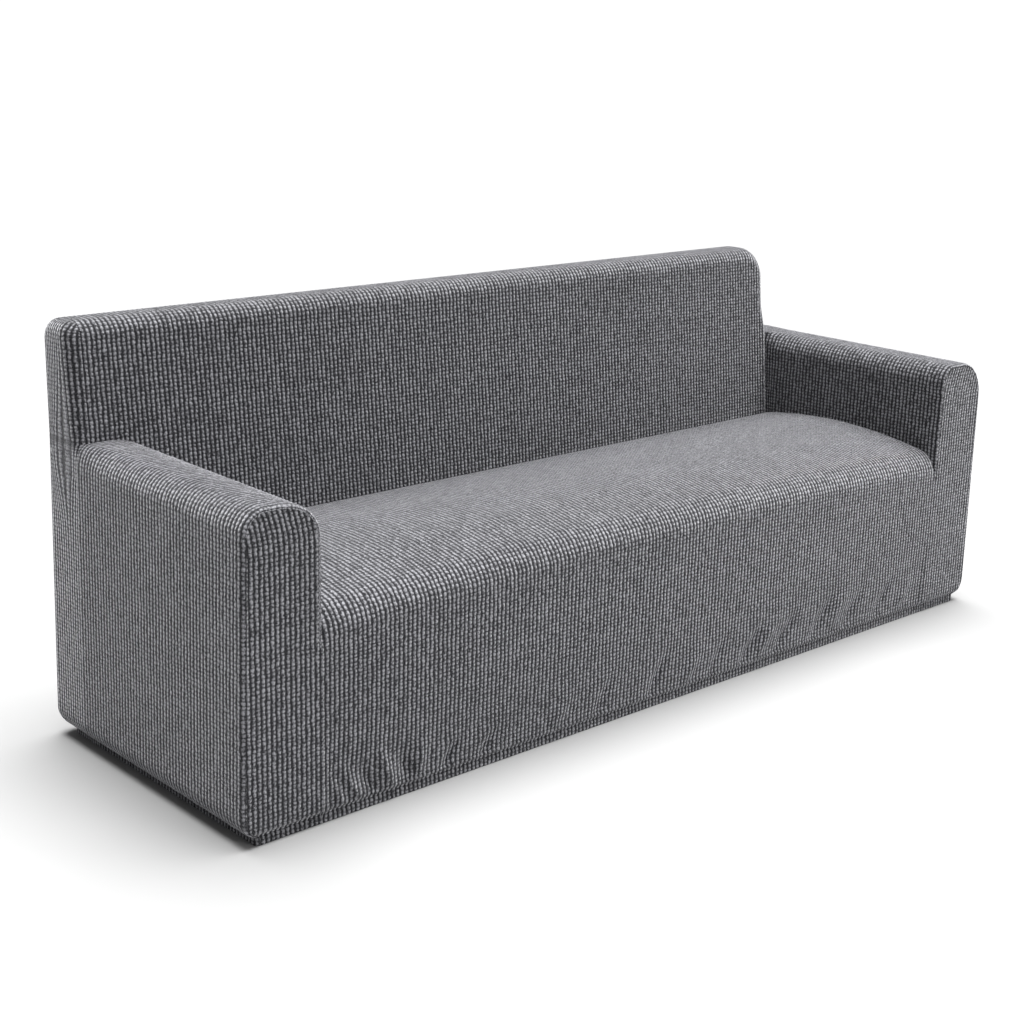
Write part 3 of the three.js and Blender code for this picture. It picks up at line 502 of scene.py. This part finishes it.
def back_rear():
    cloth = Cloth()
    right = past_round(BACK_END, REAR_EDGE, 0)
    zs = column(half_steps(0, past_round(HEIGHT, BACK_REAR_ROUND, REAR_TOP_SPARE), HALF_STITCH))
    xs = half_steps(-LEFT_SEAM + SEAM_GAP, right, HALF_RIB)[None, :]

    def add(x, z, u):
        nx, nz, depth = wrap(x, z, REAR_EDGE, BACK_REAR_ROUND)
        fade = 1 - np.sqrt(1 - clamp01((z - ARM_HEIGHT + REAR_EDGE) / REAR_EDGE) ** 2)
        at_end = (x > BACK_END - REAR_EDGE) & (z < HEIGHT - BACK_CORNER)
        depth = np.where(at_end, depth * fade, depth)
        share = (BACK_END - NARROW_FROM) / (right - NARROW_FROM)
        low = np.where(x > NARROW_FROM, NARROW_FROM + (x - NARROW_FROM) * share, x)
        lifted = mix(low, nx, smooth((z - NARROW_FOOT) / NARROW_RISE))
        nx = np.where(z < HEIGHT - BACK_CORNER, lifted, nx)
        y = rear_wall(nz) - depth
        cloth.add(nx, np.maximum(y, SEAM_LINE), nz, u / RIB, z / STITCH, keep=y > SEAM_LINE)

    flared = xs * mix(1, outer_edge(zs) / LEFT_SEAM, smooth((-xs - FLARE_FROM) / FLARE_WIDTH))
    add(np.where(xs < 0, flared, xs), zs + 0 * xs, xs)
    land = right + HALF_RIB * np.arange(END_LAND_COLUMNS)[None, :]
    rows = column([BACK_JOIN, *zs[zs[:, 0] > BACK_JOIN + LEAST_ROW, 0]])
    add(land + 0 * rows, rows + 0 * land, land)

    # The rear of the right arm, up to the rounded top of its seam.
    radius = ARM_OUTER_ROUND - REAR_EDGE - LAND - SEAM_GAP
    low = column([*zs[zs[:, 0] < OUTER_TOP + radius, 0], OUTER_TOP + radius])
    rounded = HALF - ARM_OUTER_ROUND + np.sqrt(np.maximum(radius ** 2 - (low - OUTER_TOP) ** 2, 0))
    reach = np.where(low > OUTER_TOP, rounded, outer_edge(low))
    arm = half_steps(BACK_END, HALF + FLARE, HALF_RIB)[None, :]
    nx = np.minimum(arm, reach)
    cloth.add(nx, rear_wall(low) + 0 * nx, low, nx / RIB, low / STITCH, keep=arm < reach)
    return build("back_rear_cover", cloth, (0, SEAM_LINE - BACK_REAR_ROUND, HEIGHT / 2))


# ---- sides -----------------------------------------------------------------------------------
# Rows of half a stitch up the outer wall, over its roll, the top and the inner roll, and down the
# inner wall.
LEFT_ARM_ROWS, RIGHT_ARM_ROWS = (138, 17, 4, 33, 48), (132, 28, 14, 15, 57)
REAR_COLUMNS = 8

# The front turn fades out over this depth. The left sleeve's first strip is a plain welt, set on the rib
# crest, so it wears the knit's painted-light crest tone.
FRONT_EASE, WELT = 110.0, 1.5


def sleeve(cloth, side, u, drawn, form, inner_width, parts, outer_y, inner_y, welt=False):
    """One arm sleeve over columns: outer wall, roll, top, then inner roll and inner wall.

    form is the outer edge's width, foot and height. drawn is how far each column is drawn in at a
    seam, and the two functions give the columns' y at a height.
    """
    width, foot, height = form
    edge_drop, full = (LEFT_INNER if side < 0 else RIGHT_INNER)[1:]
    inner_top = ARM_HEIGHT - edge_drop
    counts = LEFT_ARM_ROWS if side < 0 else RIGHT_ARM_ROWS
    wall_rows, roll_rows, top_rows, inner_rows, inner_wall_rows = counts

    def put(x, y, z, first_row, name):
        if name not in parts:
            return
        v = column(first_row + np.arange(max(len(x), len(z)))) / 2
        x, y, z = np.broadcast_arrays(side * x, y, z)
        if welt and name != "wall":
            # The welt keeps the rib crest's u, which gives the knit's lightest tone: a painted highlight
            # along the ridge.
            cloth.add(x[:, :2], y[:, :2], z[:, :2], 0.5, v)
            cloth.add(x[:, 1:], y[:, 1:], z[:, 1:], u[:, 1:], v)
        else:
            cloth.add(x, y, z, u, v)

    z = column(np.linspace(0, 1, wall_rows + 1)) * foot
    put(outer_wall(z) - drawn, outer_y(z), z, 0, "wall")

    phi = column(np.linspace(0, QUARTER, roll_rows + 1))
    z = foot + height * np.sin(phi)
    put(outer_wall(z) - drawn - (width - drawn) * (1 - np.cos(phi)), outer_y(z), z, wall_rows, "roll")

    t = column(np.linspace(0, 1, top_rows + 1))
    z = foot + height + 0 * t
    row = wall_rows + roll_rows
    x = mix(outer_wall(z) - width, INNER + inner_width, t)
    put(x, mix(outer_y(z), inner_y(z), t), z, row, "top")

    phi = column(np.linspace(QUARTER, 0, inner_rows + 1))
    z = inner_top + inner_up(phi, foot + height - inner_top, full)
    row += top_rows
    put(INNER + drawn + inner_over(phi, inner_width - drawn, full), inner_y(z), z, row, "inner")

    z = column(np.linspace(inner_top, INNER_FOOT, inner_wall_rows + 1))
    row += inner_rows
    put(INNER + drawn + 0 * z, inner_y(z), z, row, "inner")


def front_columns(stop):
    """Columns of a sleeve from its front seam to y = stop: flat distance, drawn in, depth."""
    turn_end = FRONT_LAND + FRONT_EDGE * QUARTER
    flat = half_steps(0, turn_end + stop - FRONT_EDGE, HALF_RIB)
    flat = np.concatenate([[0, WELT], flat[1:]])[None, :]
    angle = clamp01((flat - FRONT_LAND) / (turn_end - FRONT_LAND)) * QUARTER
    turned = FRONT_EDGE * (1 - np.sin(angle))
    drawn = np.where(flat < FRONT_LAND, FRONT_EDGE + FRONT_LAND - flat, turned)
    depth = FRONT_EDGE * (1 - np.cos(angle)) + np.maximum(flat - turn_end, 0)
    return flat, drawn, depth


def rear_columns():
    """Columns round a wall's rear turn and its land: flat distance past the wall, drawn in, back."""
    arc = REAR_EDGE * QUARTER
    flat = np.concatenate([np.linspace(0, arc, REAR_COLUMNS), [arc + LAND]])[None, :]
    angle = np.minimum(flat / REAR_EDGE, QUARTER)
    drawn = REAR_EDGE * (1 - np.cos(angle)) + np.maximum(flat - arc, 0)
    return flat, drawn, REAR_EDGE * (1 - np.sin(angle))


def turned_front(depth, z):
    """Depth of the sleeve's columns, which lean with the front wall near the front."""
    return depth + front_wall(z) * clamp01(1 - depth / FRONT_EASE)


# The right arm's inner edge narrows where the back's end meets it: from how far before, to what
# width, and over what depth it is gone.
CLOSING, CLOSED_WIDTH, CLOSED_FADE = 40.0, 4.0, 10.0


def side_right():
    cloth = Cloth()
    stop = BACK_AT_ARM + BACK_FOLD
    wall_end = DEPTH - REAR_EDGE
    closing = BACK_AT_ARM - CLOSING
    flat, drawn, depth = front_columns(stop)
    inner_width = np.interp(depth, [closing, BACK_AT_ARM, stop],
                            [RIGHT_INNER[0], RIGHT_INNER[0] / 2, CLOSED_WIDTH])

    def front_y(z):
        return turned_front(depth, z)

    def inner_y(z):
        share = (back_face(z) + BACK_FOLD - closing) / (stop - closing)
        return np.where(depth > closing, closing + (depth - closing) * share, front_y(z))

    width, foot, height = right_form(1)
    sleeve(cloth, 1, flat / RIB, drawn, (width, foot, height - drawn), inner_width,
           ("wall", "roll", "top", "inner"), front_y, inner_y)

    # Beside the back, with no inner wall.
    beside = half_steps(stop, wall_end, HALF_RIB)[None, :]
    share = (beside - stop) / (wall_end - stop)
    u_beside = (flat[0, -1] + beside - stop) / RIB

    def beside_y(z):
        return beside - share * (DEPTH - rear_wall(z))

    sleeve(cloth, 1, u_beside, 0 * beside, right_form(1 - share),
           CLOSED_WIDTH * clamp01(1 - (beside - stop) / CLOSED_FADE),
           ("wall", "roll", "top"), beside_y, beside_y)

    rear_flat, rear_drawn, back = rear_columns()

    def rear_y(z):
        return rear_wall(z) - back

    plain = (ARM_OUTER_ROUND, OUTER_TOP, ARM_OUTER_ROUND - rear_drawn)
    sleeve(cloth, 1, u_beside[0, -1] + rear_flat / RIB, rear_drawn, plain, 0 * rear_drawn,
           ("wall", "roll", "top"), rear_y, rear_y)
    return build("side_right_cover", cloth, (HALF - ARM_WIDTH / 2, DEPTH / 2, ARM_HEIGHT / 2))


# The left end of the back: columns round its front edge and over its flat, the height from which
# the wall below eases into them, and the knit on the strip at its front seam.
END_TURNS, END_COLUMNS, EASE_LOW, END_LAND_CELLS = 7, 15, 380.0, 0.4

# The left sleeve's depth from which its roll tightens and its inner side follows the back.
LEFT_EASE = 450.0

# The end's ribs crowd towards the rear about this height.
SWEEP_AT, SWEEP_BELOW, SWEEP_ABOVE, SWEEP_POWER = 600.0, 95.0, 150.0, 4.0


def end_wrap(y, z):
    """Wraps the flat end panel round its edges: new y, z, how far drawn in, and if still cloth."""
    front = back_face(np.minimum(z, HEIGHT - BACK_FRONT_ROUND)) + END_EDGE
    fr, rr = BACK_FRONT_ROUND - END_EDGE, BACK_REAR_ROUND - END_EDGE
    fy, fz = front + fr, HEIGHT - BACK_FRONT_ROUND
    ry, rz = DEPTH - BACK_REAR_ROUND, HEIGHT - BACK_REAR_ROUND
    at_front, at_rear = (y < fy) & (z > fz), (y > ry) & (z > rz)
    front_far, rear_far = np.hypot(y - fy, z - fz), np.hypot(y - ry, z - rz)
    front_least, rear_least = np.maximum(front_far, 1e-6), np.maximum(rear_far, 1e-6)
    zones = [at_front, at_rear, z > fz, y > ry]
    distances = [front_far - fr, rear_far - rr, z - (HEIGHT - END_EDGE), y - (DEPTH - END_EDGE)]
    past = np.maximum(np.select(zones, distances, front - y), 0)
    ny = np.select(zones, [(y - fy) / front_least, (y - ry) / rear_least, 0 * y, 1 + 0 * y], -1.0)
    nz = np.select(zones, [(z - fz) / front_least, (z - rz) / rear_least, 1 + 0 * y, 0 * y], 0.0)
    turn = np.minimum(past / END_EDGE, QUARTER)
    beyond = np.maximum(past - END_EDGE * QUARTER, 0)
    shift = END_EDGE * np.sin(turn) - past
    drawn = END_EDGE * (1 - np.cos(turn)) + np.minimum(beyond, LAND)
    return y + ny * shift, z + nz * shift, drawn, beyond < LAND


def swept(share, z):
    """Ribs of the end panel crowd towards the rear where the arm meets the back."""
    reach = np.where(z > SWEEP_AT, SWEEP_ABOVE, SWEEP_BELOW)
    return mix(share, 1 - (1 - share) ** SWEEP_POWER, np.exp(-((z - SWEEP_AT) / reach) ** 2))


def side_left():
    cloth = Cloth()
    wall_rows, roll_rows = LEFT_ARM_ROWS[:2]
    flat, drawn, depth = front_columns(BACK_AT_ARM)
    easing = BACK_AT_ARM - LEFT_EASE
    width = mix(ARM_OUTER_ROUND, END_EDGE, smooth((depth - LEFT_EASE) / easing))

    def front_y(z):
        return turned_front(depth, z)

    def inner_y(z):
        share = (back_face(z) - SEAM_GAP - LEFT_EASE) / easing
        return np.where(depth > LEFT_EASE, LEFT_EASE + (depth - LEFT_EASE) * share, front_y(z))

    sleeve(cloth, -1, flat / RIB, drawn, (width, OUTER_TOP, ARM_OUTER_ROUND - drawn), LEFT_INNER[0],
           ("wall", "roll", "top", "inner"), front_y, inner_y, welt=True)

    # The wall below the back's end, from the sleeve to the rear seam.
    k = np.arange(END_TURNS + END_COLUMNS + 1)[None, :]
    turn = QUARTER * clamp01(1 - k / END_TURNS)
    share = clamp01((k - END_TURNS) / END_COLUMNS)
    wall_end = DEPTH - REAR_EDGE
    rear_flat, rear_drawn, back = rear_columns()
    u_end = flat[0, -1] / RIB + k / 2
    u_rear = u_end[0, -1] + rear_flat / RIB

    def wall(z, v):
        high = BACK_AT_ARM + END_EDGE * (1 - np.sin(turn))
        high = np.where(k > END_TURNS, mix(BACK_AT_ARM + END_EDGE, wall_end, swept(share, z)), high)
        low = mix(BACK_AT_ARM, wall_end, swept(k / (END_TURNS + END_COLUMNS), z))
        y = mix(low, high, smooth((z - EASE_LOW) / (OUTER_TOP - EASE_LOW)))
        a = np.arcsin(clamp01(1 - (y - BACK_AT_ARM) / END_EDGE))
        y = y - (y - BACK_AT_ARM) / (wall_end - BACK_AT_ARM) * (DEPTH - rear_wall(z))
        roll = 1 - np.sqrt(1 - clamp01((z - OUTER_TOP) / ARM_OUTER_ROUND) ** 2)
        x = outer_wall(z) - END_EDGE * (1 - np.cos(a)) * roll
        cloth.add(-x, y, z, u_end, v)
        cloth.add(-(outer_wall(z) - rear_drawn), rear_wall(z) - back, z, u_rear, v)

    wall(column(np.linspace(0, OUTER_TOP, wall_rows + 1)), column(np.arange(wall_rows + 1)) / 2)
    phi = column(np.linspace(0, QUARTER, roll_rows + 1))
    wall(OUTER_TOP + ARM_OUTER_ROUND * np.sin(phi), (wall_rows + column(np.arange(roll_rows + 1))) / 2)

    # The back's end above the arm.
    arc = END_EDGE * QUARTER
    z = column(np.arange(ARM_HEIGHT, HEIGHT - END_EDGE + arc + LAND + HALF_STITCH, HALF_STITCH))
    front = back_face(np.minimum(z, HEIGHT - BACK_FRONT_ROUND)) + END_EDGE
    y = np.where(k < END_TURNS, front - arc * (1 - k / END_TURNS), mix(front, wall_end, swept(share, z)))
    y = np.concatenate([front - arc - LAND, y, wall_end + rear_flat[:, 1:] + 0 * z], 1)
    u = np.concatenate([u_end[:, :1] - END_LAND_CELLS, u_end, u_rear[:, 1:]], 1)
    ny, nz, end_drawn, keep = end_wrap(y, z + 0 * y)
    v = (wall_rows + roll_rows + column(np.arange(len(z)))) / 2
    cloth.add(-(HALF - end_drawn), ny, nz, u, v, keep=keep)
    return build("side_left_cover", cloth, (-HALF + ARM_WIDTH / 2, DEPTH / 2, ARM_HEIGHT / 2))


# The arm fronts: how far, from how far below the arm's top, their ribs fan out; rows over the
# crest; and the half height of the step where the inner wall begins.
FAN, FAN_HEIGHT, CREST_ROWS, STEP_HALF = 18.0, 90.0, 7, 0.5


def arm_front(side, name):
    inset = FRONT_EDGE + FRONT_LAND + SEAM_GAP
    width, foot, height = (ARM_OUTER_ROUND, OUTER_TOP, ARM_OUTER_ROUND) if side < 0 else right_form(1)
    inner_width, drop, full = LEFT_INNER if side < 0 else RIGHT_INNER
    rise = height - inset
    top = foot + rise
    crest = np.linspace(math.asin(1 - STITCH / rise), QUARTER, CREST_ROWS)
    z = column(np.unique(np.concatenate([
        np.arange(0, top - STITCH, HALF_STITCH), foot + rise * np.sin(crest),
        [INNER_FOOT - STEP_HALF, INNER_FOOT + STEP_HALF]])))
    fall = 1 - np.sqrt(1 - clamp01((z - foot) / rise) ** 2)
    outer_x = outer_wall(z) - inset - (width - inset) * fall
    inner_top = ARM_HEIGHT - drop
    up = clamp01((z - inner_top) / (top - inner_top))
    inner_x = INNER + inset + (inner_width - inset) * (1 - (1 - up ** full) ** (1 / full))
    inner_x = np.where(z < INNER_FOOT, INNER, inner_x)
    lean = FAN * clamp01((z - ARM_HEIGHT + FAN_HEIGHT) / FAN_HEIGHT) ** 2
    x = half_steps(INNER - FAN, HALF + FLARE, HALF_RIB)[None, :] + lean
    keep = (x > inner_x) & (x < outer_x)
    x = np.clip(x, inner_x, outer_x)
    cloth = Cloth()
    cloth.add(side * x, front_wall(z) + hem_crease(z), z, (x - lean) / RIB, z / STITCH, keep=keep)
    return build(name, cloth, (side * INNER, DEPTH / 2, ARM_HEIGHT / 2))


# ---- the knit's look ---------------------------------------------------------------------------
# Scale of each noise, in metres. The first two shift the knit, by up to half of these many cells.
ACROSS_SCALE, ALONG_SCALE, YARN_SCALE, BROAD_SCALE = 70.0, 76.0, 340.0, 6.0
ACROSS_WANDER, ALONG_WANDER = 0.6, 1.0
NOISE_DETAIL, NOISE_ROUGH, YARN_ROUGH = 3, 0.5, 0.7

# The ribs' sharpness, the height left between bumps, and how much the tone varies from bump to
# bump, within their yarn, in flecks, and broadly over the cloth.
RIB_SHARP, BUMP_FLOOR = 1.4, 0.34
CELL_SPREAD, YARN_SPREAD, FLECKS, BROAD_SPREAD = 0.75, 3.6, 0.9, 0.24

# The darkest and lightest tones, and the heights that have them: the colour follows the knit's height, so
# there is painted shade in its valleys and painted light on its bump tops.
DARK, LIGHT = (0.0155, 0.0155, 0.018), (0.318, 0.318, 0.341)
DARK_AT, LIGHT_AT = 0.06, 0.85
YARN_HEIGHT, BUMP_METRES = 0.45, 0.0024
SURFACE = {
    "Roughness": 0.92, "Specular IOR Level": 0.15,
    "Sheen Weight": 1.0, "Sheen Roughness": 0.35, "Sheen Tint": (0.92, 0.92, 0.95, 1),
}


def knit(name):
    material = bpy.data.materials.new(name)
    material.use_nodes = True
    nodes, links = material.node_tree.nodes, material.node_tree.links
    shader = nodes["Principled BSDF"]
    for socket, value in SURFACE.items():
        shader.inputs[socket].default_value = value

    def math_node(kind, a, b=None, c=None, clamp=False):
        node = nodes.new("ShaderNodeMath")
        node.operation, node.use_clamp = kind, clamp
        for socket, value in zip(node.inputs, (a, b, c)):
            if value is None:
                continue
            if isinstance(value, (int, float)):
                socket.default_value = value
            else:
                links.new(value, socket)
        return node.outputs[0]

    def noise(scale, rough=NOISE_ROUGH):
        node = nodes.new("ShaderNodeTexNoise")
        node.inputs["Scale"].default_value = scale
        node.inputs["Detail"].default_value = NOISE_DETAIL
        node.inputs["Roughness"].default_value = rough
        links.new(where, node.inputs["Vector"])
        return node.outputs["Fac"]

    def spread(value, width, middle=1.0):
        """Turns a value of 0 to 1 into a band of that width about the middle."""
        return math_node("MULTIPLY_ADD", value, width, middle - width / 2)

    def wave(value):
        turned = math_node("MULTIPLY", value, 2 * math.pi)
        return math_node("MULTIPLY_ADD", math_node("COSINE", turned), -0.5, 0.5)

    place = nodes.new("ShaderNodeUVMap")
    place.uv_map = "weave"
    split = nodes.new("ShaderNodeSeparateXYZ")
    links.new(place.outputs[0], split.inputs[0])
    where = nodes.new("ShaderNodeTexCoord").outputs["Object"]

    # Ribs and bumps on the weave's grid, slightly uneven.
    u = math_node("ADD", split.outputs[0], spread(noise(ACROSS_SCALE), ACROSS_WANDER, 0.0))
    v = math_node("ADD", split.outputs[1], spread(noise(ALONG_SCALE), ALONG_WANDER, 0.0))
    rib = math_node("POWER", wave(u), RIB_SHARP)
    bump = math_node("MULTIPLY_ADD", wave(v), 1 - BUMP_FLOOR, BUMP_FLOOR)
    height = math_node("MULTIPLY", rib, bump)

    # Each bump is a little lighter or darker than its neighbours, and its yarn is heathered.
    cell = nodes.new("ShaderNodeCombineXYZ")
    links.new(math_node("FLOOR", u), cell.inputs[0])
    links.new(math_node("FLOOR", v), cell.inputs[1])
    random = nodes.new("ShaderNodeTexWhiteNoise")
    random.noise_dimensions = "2D"
    links.new(cell.outputs[0], random.inputs["Vector"])
    yarn = noise(YARN_SCALE, YARN_ROUGH)
    tone = math_node("MULTIPLY", spread(random.outputs["Value"], CELL_SPREAD), spread(yarn, YARN_SPREAD))
    # The knit's height sets how light each spot is: painted shade down in the valleys and painted light on
    # the bumps. The tone and flecks are the yarn's own colour.
    shade = math_node("MULTIPLY_ADD", height, tone, spread(yarn, FLECKS, 0.0), clamp=True)

    ramp = nodes.new("ShaderNodeValToRGB")
    for element, position, colour in zip(ramp.color_ramp.elements, (DARK_AT, LIGHT_AT), (DARK, LIGHT)):
        element.position, element.color = position, (*colour, 1)
    links.new(shade, ramp.inputs[0])
    scaled = nodes.new("ShaderNodeVectorMath")
    scaled.operation = "SCALE"
    links.new(ramp.outputs[0], scaled.inputs[0])
    links.new(spread(noise(BROAD_SCALE), BROAD_SPREAD), scaled.inputs["Scale"])
    links.new(scaled.outputs[0], shader.inputs["Base Color"])

    relief = nodes.new("ShaderNodeBump")
    relief.inputs["Strength"].default_value = 1.0
    relief.inputs["Distance"].default_value = BUMP_METRES
    links.new(math_node("MULTIPLY_ADD", yarn, YARN_HEIGHT, height), relief.inputs["Height"])
    links.new(relief.outputs[0], shader.inputs["Normal"])
    return material


# ---- the panels --------------------------------------------------------------------------------
# What makes a panel, its CAD node, its flat width and length, and its flat area in square metres.
PANELS = (
    (seat, "seat", (1.88, 0.98), 1.84),
    (back_front, "back_front", (2.09, 0.55), 1.10),
    (back_rear, "back_rear", (2.17, 0.95), 2.02),
    (side_left, "side_left", (0.74, 1.09), 0.80),
    (side_right, "side_right", (0.74, 1.02), 0.71),
    (lambda: arm_front(-1, "arm_front_left_cover"), "arm_front_left", (0.164, 0.62), 0.095),
    (lambda: arm_front(1, "arm_front_right_cover"), "arm_front_right", (0.164, 0.62), 0.095),
)
cloth_material = knit("waffle_knit_grey")
for make, node, flat_size, flat_area in PANELS:
    piece = make()
    piece.data.materials.append(cloth_material)
    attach(piece, "root")
    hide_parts(node)

# ---- floor, light and camera, in metres ----------------------------------------------------------
FLOOR_SIZE, FLOOR_DROP = 60, 0.0005
FLOOR_PAINT = {"Base Color": (0.38, 0.38, 0.38, 1), "Roughness": 0.9, "Specular IOR Level": 0.1}

# The sky's strength as light, and as the camera sees it.
SKY_LIGHT, SKY_SEEN = 0.18, 1.1
SUN_PLACE, SUN_POWER, SUN_ANGLE = (0.8, 0.45, 6), 8.2, 50
SOFTBOXES = (("front_right", (2.9, -2.6, 1.5), 25), ("front", (0.7, -4.8, 1.6), 62))
SOFTBOX_TARGET, SOFTBOX_SIZE = (0.4, 0, 0.35), 2.0

# The photograph's camera: place, turns in degrees, and focal length in pixels of its width.
CAMERA_PLACE, CAMERA_TURNS = (-2.6375, -2.6833, 1.4495), (-42.6, -16.31, 1.5)
FOCAL_PIXELS, PHOTO_PIXELS, SENSOR = 1719.244, 1024, 36.0

bpy.ops.mesh.primitive_plane_add(size=FLOOR_SIZE, location=(0, 0, -FLOOR_DROP))
floor = bpy.context.object
floor.name = "studio_floor"
paint = bpy.data.materials.new("studio_white")
paint.use_nodes = True
for socket, value in FLOOR_PAINT.items():
    paint.node_tree.nodes["Principled BSDF"].inputs[socket].default_value = value
floor.data.materials.append(paint)

world = bpy.data.worlds.new("studio")
bpy.context.scene.world = world
world.use_nodes = True
sky = world.node_tree.nodes["Background"]
path = world.node_tree.nodes.new("ShaderNodeLightPath")
strength = world.node_tree.nodes.new("ShaderNodeMapRange")
strength.inputs["To Min"].default_value = SKY_LIGHT
strength.inputs["To Max"].default_value = SKY_SEEN
world.node_tree.links.new(path.outputs["Is Camera Ray"], strength.inputs["Value"])
world.node_tree.links.new(strength.outputs[0], sky.inputs["Strength"])
sky.inputs["Color"].default_value = (1, 1, 1, 1)


def lamp(kind, name, place, target, power):
    data = bpy.data.lights.new(name, kind)
    data.energy = power
    lit = bpy.data.objects.new(name, data)
    lit.location = place
    lit.rotation_euler = (Vector(target) - Vector(place)).to_track_quat("-Z", "Y").to_euler()
    bpy.context.scene.collection.objects.link(lit)
    return data


lamp("SUN", "overhead", SUN_PLACE, (0, 0, 0), SUN_POWER).angle = math.radians(SUN_ANGLE)
for name, place, power in SOFTBOXES:
    softbox = lamp("AREA", name, place, SOFTBOX_TARGET, power)
    softbox.shape, softbox.size = "DISK", SOFTBOX_SIZE

yaw, pitch, roll = map(math.radians, CAMERA_TURNS)
forward = Vector((-math.sin(yaw) * math.cos(pitch), math.cos(yaw) * math.cos(pitch), math.sin(pitch)))
level_right = Vector((math.cos(yaw), math.sin(yaw), 0))
level_up = level_right.cross(forward)
right = level_right * math.cos(roll) + level_up * math.sin(roll)
up = level_up * math.cos(roll) - level_right * math.sin(roll)
camera = bpy.data.objects.new("camera", bpy.data.cameras.new("camera"))
camera.data.sensor_width = SENSOR
camera.data.lens = FOCAL_PIXELS / PHOTO_PIXELS * SENSOR
camera.matrix_world = Matrix((
    (right.x, up.x, -forward.x, CAMERA_PLACE[0]),
    (right.y, up.y, -forward.y, CAMERA_PLACE[1]),
    (right.z, up.z, -forward.z, CAMERA_PLACE[2]),
    (0, 0, 0, 1),
))
bpy.context.scene.collection.objects.link(camera)
bpy.context.scene.camera = camera
bpy.context.scene.view_settings.view_transform = "Standard"
bpy.context.scene.view_settings.look = "None"
